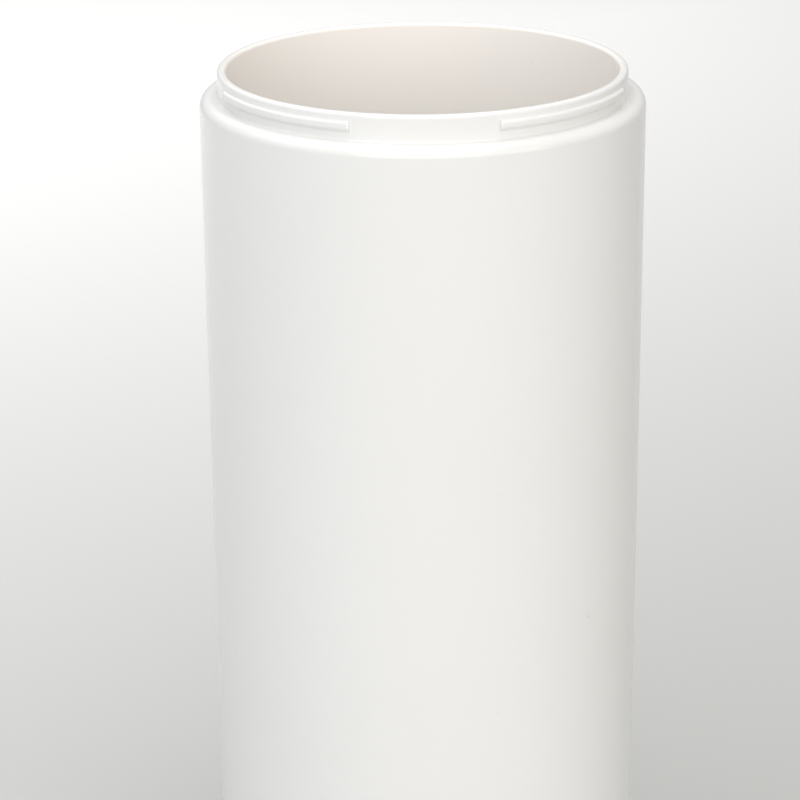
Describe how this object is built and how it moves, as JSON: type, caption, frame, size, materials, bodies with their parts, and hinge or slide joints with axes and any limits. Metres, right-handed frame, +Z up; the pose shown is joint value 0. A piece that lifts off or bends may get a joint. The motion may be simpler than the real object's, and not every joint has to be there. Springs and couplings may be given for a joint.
{
  "type": "detergent dispenser bottle",
  "caption": "Tall round dispenser bottle with its head off: an open lift-out tank with a bayonet neck sits in a plain outer sleeve on a non-slip base.",
  "frame": {"origin": "centre of the base on the surface that the bottle stands on", "axes": "+Z up along the bottle's axis to the mouth; the bayonet lugs lie on the diagonals between X and Y"},
  "size_m": [0.08, 0.08, 0.19],
  "materials": {
    "sleeve_plastic": "gloss white moulded plastic",
    "tank_plastic": "satin-gloss white polypropylene",
    "base_plastic": "fine-textured white plastic",
    "seal_rubber": "translucent grey silicone",
    "cushion_rubber": "soft grey silicone",
    "foot_rubber": "matt grey non-slip rubber",
    "screw_steel": "stainless steel"
  },
  "bodies": {
    "sleeve": {"outer_sleeve": "sleeve_plastic", "base_plate": "base_plastic", "base_seal": "seal_rubber", "base_screws": "screw_steel", "foot_ring": "foot_rubber", "tank_cushion": "cushion_rubber"},
    "tank": {"inner_tank": "tank_plastic", "ledge_gasket": "seal_rubber"}
  },
  "joints": [
    {"name": "tank_lift", "type": "slide", "parent": "sleeve", "child": "tank", "axis": [0, 0, 1], "range_m": [0, 0.19]}
  ]
}
